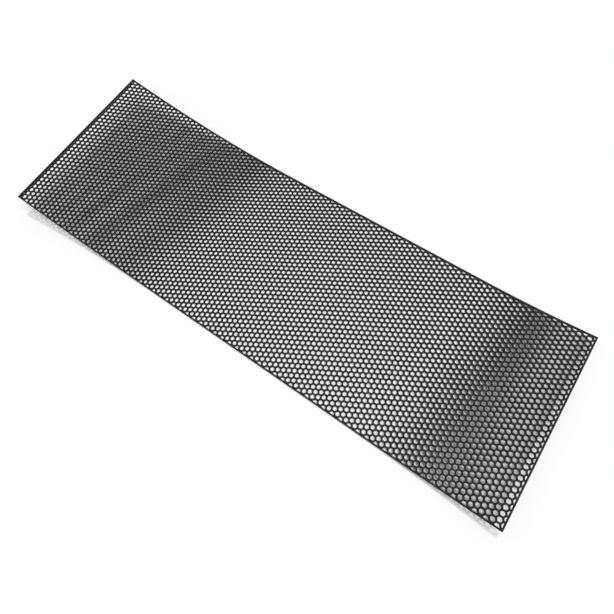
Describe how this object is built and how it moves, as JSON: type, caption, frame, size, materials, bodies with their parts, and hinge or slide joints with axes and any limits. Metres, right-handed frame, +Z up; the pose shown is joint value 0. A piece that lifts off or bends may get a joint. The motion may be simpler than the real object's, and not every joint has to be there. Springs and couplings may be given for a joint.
{
  "type": "car grille mesh",
  "caption": "Thin black moulded plastic honeycomb mesh sheet with a narrow plain rim, its ends curled up a little, cut to size to fill a car's grille or vent.",
  "frame": {"origin": "centre of the bounding box at floor level, on the underside of the flat middle", "axes": "+X along the sheet's length, +Y across its width, +Z up through its thickness"},
  "size_m": [1.1964, 0.4008, 0.0615],
  "materials": {
    "black_plastic": "satin black"
  },
  "bodies": {
    "root": {"mesh_strip_01": "black_plastic", "mesh_strip_02": "black_plastic", "mesh_strip_03": "black_plastic", "mesh_strip_04": "black_plastic", "mesh_strip_05": "black_plastic", "mesh_strip_06": "black_plastic", "mesh_strip_07": "black_plastic", "mesh_strip_08": "black_plastic", "mesh_strip_09": "black_plastic", "mesh_strip_10": "black_plastic", "mesh_strip_11": "black_plastic", "mesh_strip_12": "black_plastic", "mesh_strip_13": "black_plastic", "mesh_strip_14": "black_plastic", "mesh_strip_15": "black_plastic", "mesh_strip_16": "black_plastic", "mesh_strip_17": "black_plastic", "mesh_strip_18": "black_plastic", "mesh_strip_19": "black_plastic", "mesh_strip_20": "black_plastic", "mesh_strip_21": "black_plastic"}
  },
  "joints": []
}
